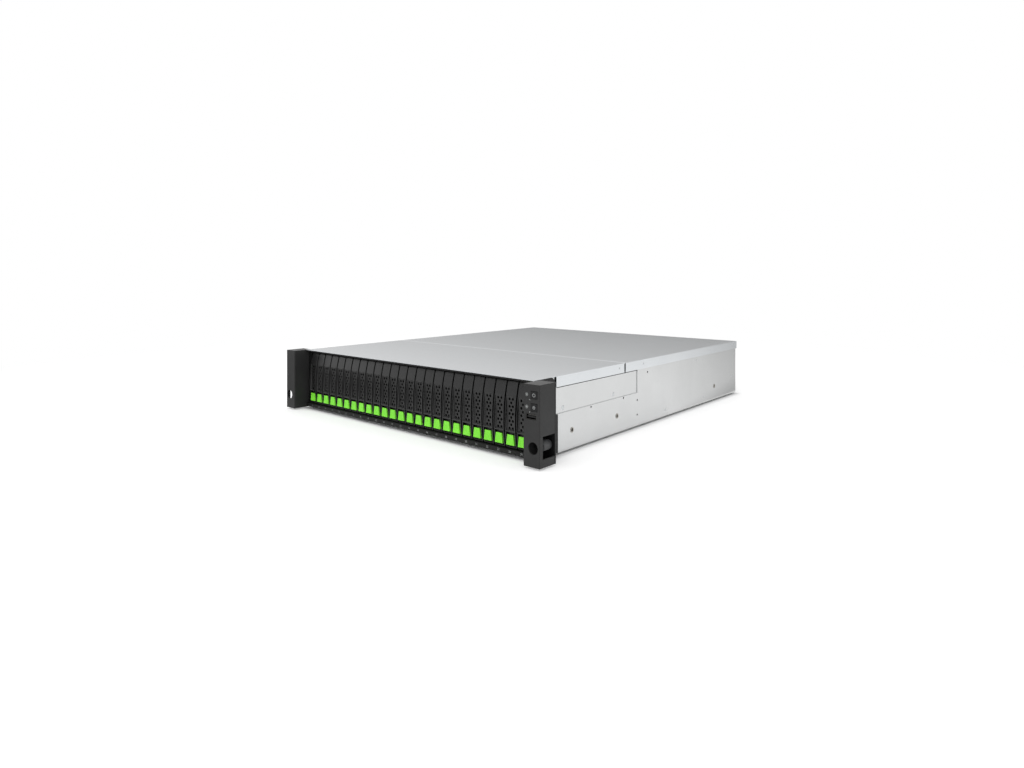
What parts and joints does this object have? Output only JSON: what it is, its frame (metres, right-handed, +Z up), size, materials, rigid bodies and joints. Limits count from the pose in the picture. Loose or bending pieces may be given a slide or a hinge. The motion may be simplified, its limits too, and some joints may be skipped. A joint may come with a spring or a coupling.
{
  "type": "storage array",
  "caption": "Rack-mounted storage array: pale steel chassis, front drive trays with perforated levers and green latches, rack ears with controls, rear modules.",
  "frame": {"origin": "middle of the chassis width, on the chassis front that the bezel stands on, at the underside; the plane that bears on the rack rails is 2.5 mm behind it", "axes": "+X to the right seen from the front, +Y back into the rack, +Z up"},
  "size_m": [0.4826, 0.5975, 0.088],
  "materials": {
    "chassis_steel": "zinc-coated sheet, satin",
    "bracket_steel": "black powder coat",
    "front_black": "fine grained",
    "board_green": "solder mask",
    "ear_plastic": "fine grained",
    "screw_steel": "turned",
    "button_plastic": "satin",
    "light_pipe": "clear moulded",
    "plated_steel": "nickel plated",
    "module_steel": "zinc-coated sheet",
    "lever_plastic": "satin",
    "handle_steel": "powder coated",
    "fan_plastic": "moulded",
    "tray_alloy": "dark coated carrier and drive",
    "tray_plastic": "fine grained",
    "latch_green": "satin moulded"
  },
  "bodies": {
    "chassis": {"base_pan": "chassis_steel", "front_lid": "chassis_steel", "front_frame": "front_black", "bay_guides": "front_black", "midplane_board": "board_green", "drive_sockets": "front_black", "right_rack_bracket": "bracket_steel", "left_rack_bracket": "bracket_steel", "right_ear_cover": "ear_plastic", "left_ear_cover": "ear_plastic", "status_lights": "light_pipe", "usb_socket": "plated_steel", "rear_bulkhead": "chassis_steel"},
    "rear_lid": {"rear_lid": "chassis_steel"},
    "right_thumbscrew": {"right_thumbscrew": "screw_steel"},
    "left_thumbscrew": {"left_thumbscrew": "screw_steel"},
    "power_button": {"power_button": "button_plastic"},
    "locate_button": {"locate_button": "button_plastic"},
    "tray_01": {"tray_01": "tray_alloy"},
    "tray_01_lever": {"tray_01_lever": "tray_plastic"},
    "tray_01_latch": {"tray_01_latch": "latch_green"},
    "tray_02": {"tray_02": "tray_alloy"},
    "tray_03": {"tray_03": "tray_alloy"},
    "tray_04": {"tray_04": "tray_alloy"},
    "tray_05": {"tray_05": "tray_alloy"},
    "tray_06": {"tray_06": "tray_alloy"},
    "tray_07": {"tray_07": "tray_alloy"},
    "tray_08": {"tray_08": "tray_alloy"},
    "tray_09": {"tray_09": "tray_alloy"},
    "tray_10": {"tray_10": "tray_alloy"},
    "tray_11": {"tray_11": "tray_alloy"},
    "tray_12": {"tray_12": "tray_alloy"},
    "tray_13": {"tray_13": "tray_alloy"},
    "tray_13_lever": {"tray_13_lever": "tray_plastic"},
    "tray_13_latch": {"tray_13_latch": "latch_green"},
    "tray_14": {"tray_14": "tray_alloy"},
    "tray_15": {"tray_15": "tray_alloy"},
    "tray_16": {"tray_16": "tray_alloy"},
    "tray_17": {"tray_17": "tray_alloy"},
    "tray_18": {"tray_18": "tray_alloy"},
    "tray_19": {"tray_19": "tray_alloy"},
    "tray_20": {"tray_20": "tray_alloy"},
    "tray_21": {"tray_21": "tray_alloy"},
    "tray_22": {"tray_22": "tray_alloy"},
    "tray_23": {"tray_23": "tray_alloy"},
    "tray_24": {"tray_24": "tray_alloy"},
    "tray_25": {"tray_25": "tray_alloy"},
    "tray_25_lever": {"tray_25_lever": "tray_plastic"},
    "tray_25_latch": {"tray_25_latch": "latch_green"},
    "controller_a": {"controller_a": "module_steel"},
    "controller_a_lever": {"controller_a_lever": "lever_plastic"},
    "controller_b": {"controller_b": "module_steel"},
    "controller_b_lever": {"controller_b_lever": "lever_plastic"},
    "power_supply_a": {"power_supply_a": "module_steel"},
    "power_supply_a_handle": {"power_supply_a_handle": "handle_steel"},
    "power_supply_a_fan": {"power_supply_a_fan": "fan_plastic"},
    "power_supply_b": {"power_supply_b": "module_steel"},
    "power_supply_b_handle": {"power_supply_b_handle": "handle_steel"},
    "power_supply_b_fan": {"power_supply_b_fan": "fan_plastic"}
  },
  "joints": [
    {"name": "rear_lid_slide", "type": "slide", "parent": "chassis", "child": "rear_lid", "axis": [0, 1, 0], "range_m": [0, 0.02]},
    {"name": "right_thumbscrew_turn", "type": "hinge", "parent": "chassis", "child": "right_thumbscrew", "pos_m": [0.23255, 0, 0.0207], "axis": [0, 1, 0], "continuous": true},
    {"name": "left_thumbscrew_turn", "type": "hinge", "parent": "chassis", "child": "left_thumbscrew", "pos_m": [-0.23255, 0, 0.0207], "axis": [0, 1, 0], "continuous": true},
    {"name": "power_button_press", "type": "slide", "parent": "chassis", "child": "power_button", "axis": [0, 1, 0], "range_m": [0, 0.0008], "stiffness_N_per_m": 1500},
    {"name": "locate_button_press", "type": "slide", "parent": "chassis", "child": "locate_button", "axis": [0, 1, 0], "range_m": [0, 0.0008], "stiffness_N_per_m": 1500},
    {"name": "tray_01_slide", "type": "slide", "parent": "chassis", "child": "tray_01", "axis": [0, -1, 0], "range_m": [0, 0.14]},
    {"name": "tray_01_lever_swing", "type": "hinge", "parent": "tray_01", "child": "tray_01_lever", "pos_m": [-0.2016, 0.003, 0.0796], "axis": [-1, 0, 0], "range_deg": [0, 50]},
    {"name": "tray_01_latch_slide", "type": "slide", "parent": "tray_01", "child": "tray_01_latch", "axis": [0, 0, -1], "range_m": [0, 0.002], "stiffness_N_per_m": 800, "springref_m": -0.001},
    {"name": "tray_02_slide", "type": "slide", "parent": "chassis", "child": "tray_02", "axis": [0, -1, 0], "range_m": [0, 0.14]},
    {"name": "tray_03_slide", "type": "slide", "parent": "chassis", "child": "tray_03", "axis": [0, -1, 0], "range_m": [0, 0.14]},
    {"name": "tray_04_slide", "type": "slide", "parent": "chassis", "child": "tray_04", "axis": [0, -1, 0], "range_m": [0, 0.14]},
    {"name": "tray_05_slide", "type": "slide", "parent": "chassis", "child": "tray_05", "axis": [0, -1, 0], "range_m": [0, 0.14]},
    {"name": "tray_06_slide", "type": "slide", "parent": "chassis", "child": "tray_06", "axis": [0, -1, 0], "range_m": [0, 0.14]},
    {"name": "tray_07_slide", "type": "slide", "parent": "chassis", "child": "tray_07", "axis": [0, -1, 0], "range_m": [0, 0.14]},
    {"name": "tray_08_slide", "type": "slide", "parent": "chassis", "child": "tray_08", "axis": [0, -1, 0], "range_m": [0, 0.14]},
    {"name": "tray_09_slide", "type": "slide", "parent": "chassis", "child": "tray_09", "axis": [0, -1, 0], "range_m": [0, 0.14]},
    {"name": "tray_10_slide", "type": "slide", "parent": "chassis", "child": "tray_10", "axis": [0, -1, 0], "range_m": [0, 0.14]},
    {"name": "tray_11_slide", "type": "slide", "parent": "chassis", "child": "tray_11", "axis": [0, -1, 0], "range_m": [0, 0.14]},
    {"name": "tray_12_slide", "type": "slide", "parent": "chassis", "child": "tray_12", "axis": [0, -1, 0], "range_m": [0, 0.14]},
    {"name": "tray_13_slide", "type": "slide", "parent": "chassis", "child": "tray_13", "axis": [0, -1, 0], "range_m": [0, 0.14]},
    {"name": "tray_13_lever_swing", "type": "hinge", "parent": "tray_13", "child": "tray_13_lever", "pos_m": [0, 0.003, 0.0796], "axis": [-1, 0, 0], "range_deg": [0, 50]},
    {"name": "tray_13_latch_slide", "type": "slide", "parent": "tray_13", "child": "tray_13_latch", "axis": [0, 0, -1], "range_m": [0, 0.002], "stiffness_N_per_m": 800, "springref_m": -0.001},
    {"name": "tray_14_slide", "type": "slide", "parent": "chassis", "child": "tray_14", "axis": [0, -1, 0], "range_m": [0, 0.14]},
    {"name": "tray_15_slide", "type": "slide", "parent": "chassis", "child": "tray_15", "axis": [0, -1, 0], "range_m": [0, 0.14]},
    {"name": "tray_16_slide", "type": "slide", "parent": "chassis", "child": "tray_16", "axis": [0, -1, 0], "range_m": [0, 0.14]},
    {"name": "tray_17_slide", "type": "slide", "parent": "chassis", "child": "tray_17", "axis": [0, -1, 0], "range_m": [0, 0.14]},
    {"name": "tray_18_slide", "type": "slide", "parent": "chassis", "child": "tray_18", "axis": [0, -1, 0], "range_m": [0, 0.14]},
    {"name": "tray_19_slide", "type": "slide", "parent": "chassis", "child": "tray_19", "axis": [0, -1, 0], "range_m": [0, 0.14]},
    {"name": "tray_20_slide", "type": "slide", "parent": "chassis", "child": "tray_20", "axis": [0, -1, 0], "range_m": [0, 0.14]},
    {"name": "tray_21_slide", "type": "slide", "parent": "chassis", "child": "tray_21", "axis": [0, -1, 0], "range_m": [0, 0.14]},
    {"name": "tray_22_slide", "type": "slide", "parent": "chassis", "child": "tray_22", "axis": [0, -1, 0], "range_m": [0, 0.14]},
    {"name": "tray_23_slide", "type": "slide", "parent": "chassis", "child": "tray_23", "axis": [0, -1, 0], "range_m": [0, 0.14]},
    {"name": "tray_24_slide", "type": "slide", "parent": "chassis", "child": "tray_24", "axis": [0, -1, 0], "range_m": [0, 0.14]},
    {"name": "tray_25_slide", "type": "slide", "parent": "chassis", "child": "tray_25", "axis": [0, -1, 0], "range_m": [0, 0.14]},
    {"name": "tray_25_lever_swing", "type": "hinge", "parent": "tray_25", "child": "tray_25_lever", "pos_m": [0.2016, 0.003, 0.0796], "axis": [-1, 0, 0], "range_deg": [0, 50]},
    {"name": "tray_25_latch_slide", "type": "slide", "parent": "tray_25", "child": "tray_25_latch", "axis": [0, 0, -1], "range_m": [0, 0.002], "stiffness_N_per_m": 800, "springref_m": -0.001},
    {"name": "controller_a_slide", "type": "slide", "parent": "chassis", "child": "controller_a", "axis": [0, 1, 0], "range_m": [0, 0.44]},
    {"name": "controller_a_lever_swing", "type": "hinge", "parent": "controller_a", "child": "controller_a_lever", "pos_m": [0.1027, 0.5656, 0.0658], "axis": [0, 0, -1], "range_deg": [0, 80]},
    {"name": "controller_b_slide", "type": "slide", "parent": "chassis", "child": "controller_b", "axis": [0, 1, 0], "range_m": [0, 0.44]},
    {"name": "controller_b_lever_swing", "type": "hinge", "parent": "controller_b", "child": "controller_b_lever", "pos_m": [0.1027, 0.5656, 0.0224], "axis": [0, 0, -1], "range_deg": [0, 80]},
    {"name": "power_supply_a_slide", "type": "slide", "parent": "chassis", "child": "power_supply_a", "axis": [0, 1, 0], "range_m": [0, 0.44]},
    {"name": "power_supply_a_handle_swing", "type": "hinge", "parent": "power_supply_a", "child": "power_supply_a_handle", "pos_m": [0.1969, 0.565, 0.0775], "axis": [1, 0, 0], "range_deg": [0, 90]},
    {"name": "power_supply_a_fan_spin", "type": "hinge", "parent": "power_supply_a", "child": "power_supply_a_fan", "pos_m": [0.1485, 0.548, 0.0515], "axis": [0, 1, 0], "continuous": true},
    {"name": "power_supply_b_slide", "type": "slide", "parent": "chassis", "child": "power_supply_b", "axis": [0, 1, 0], "range_m": [0, 0.44]},
    {"name": "power_supply_b_handle_swing", "type": "hinge", "parent": "power_supply_b", "child": "power_supply_b_handle", "pos_m": [-0.133, 0.565, 0.0775], "axis": [1, 0, 0], "range_deg": [0, 90]},
    {"name": "power_supply_b_fan_spin", "type": "hinge", "parent": "power_supply_b", "child": "power_supply_b_fan", "pos_m": [-0.1814, 0.548, 0.0515], "axis": [0, 1, 0], "continuous": true}
  ]
}
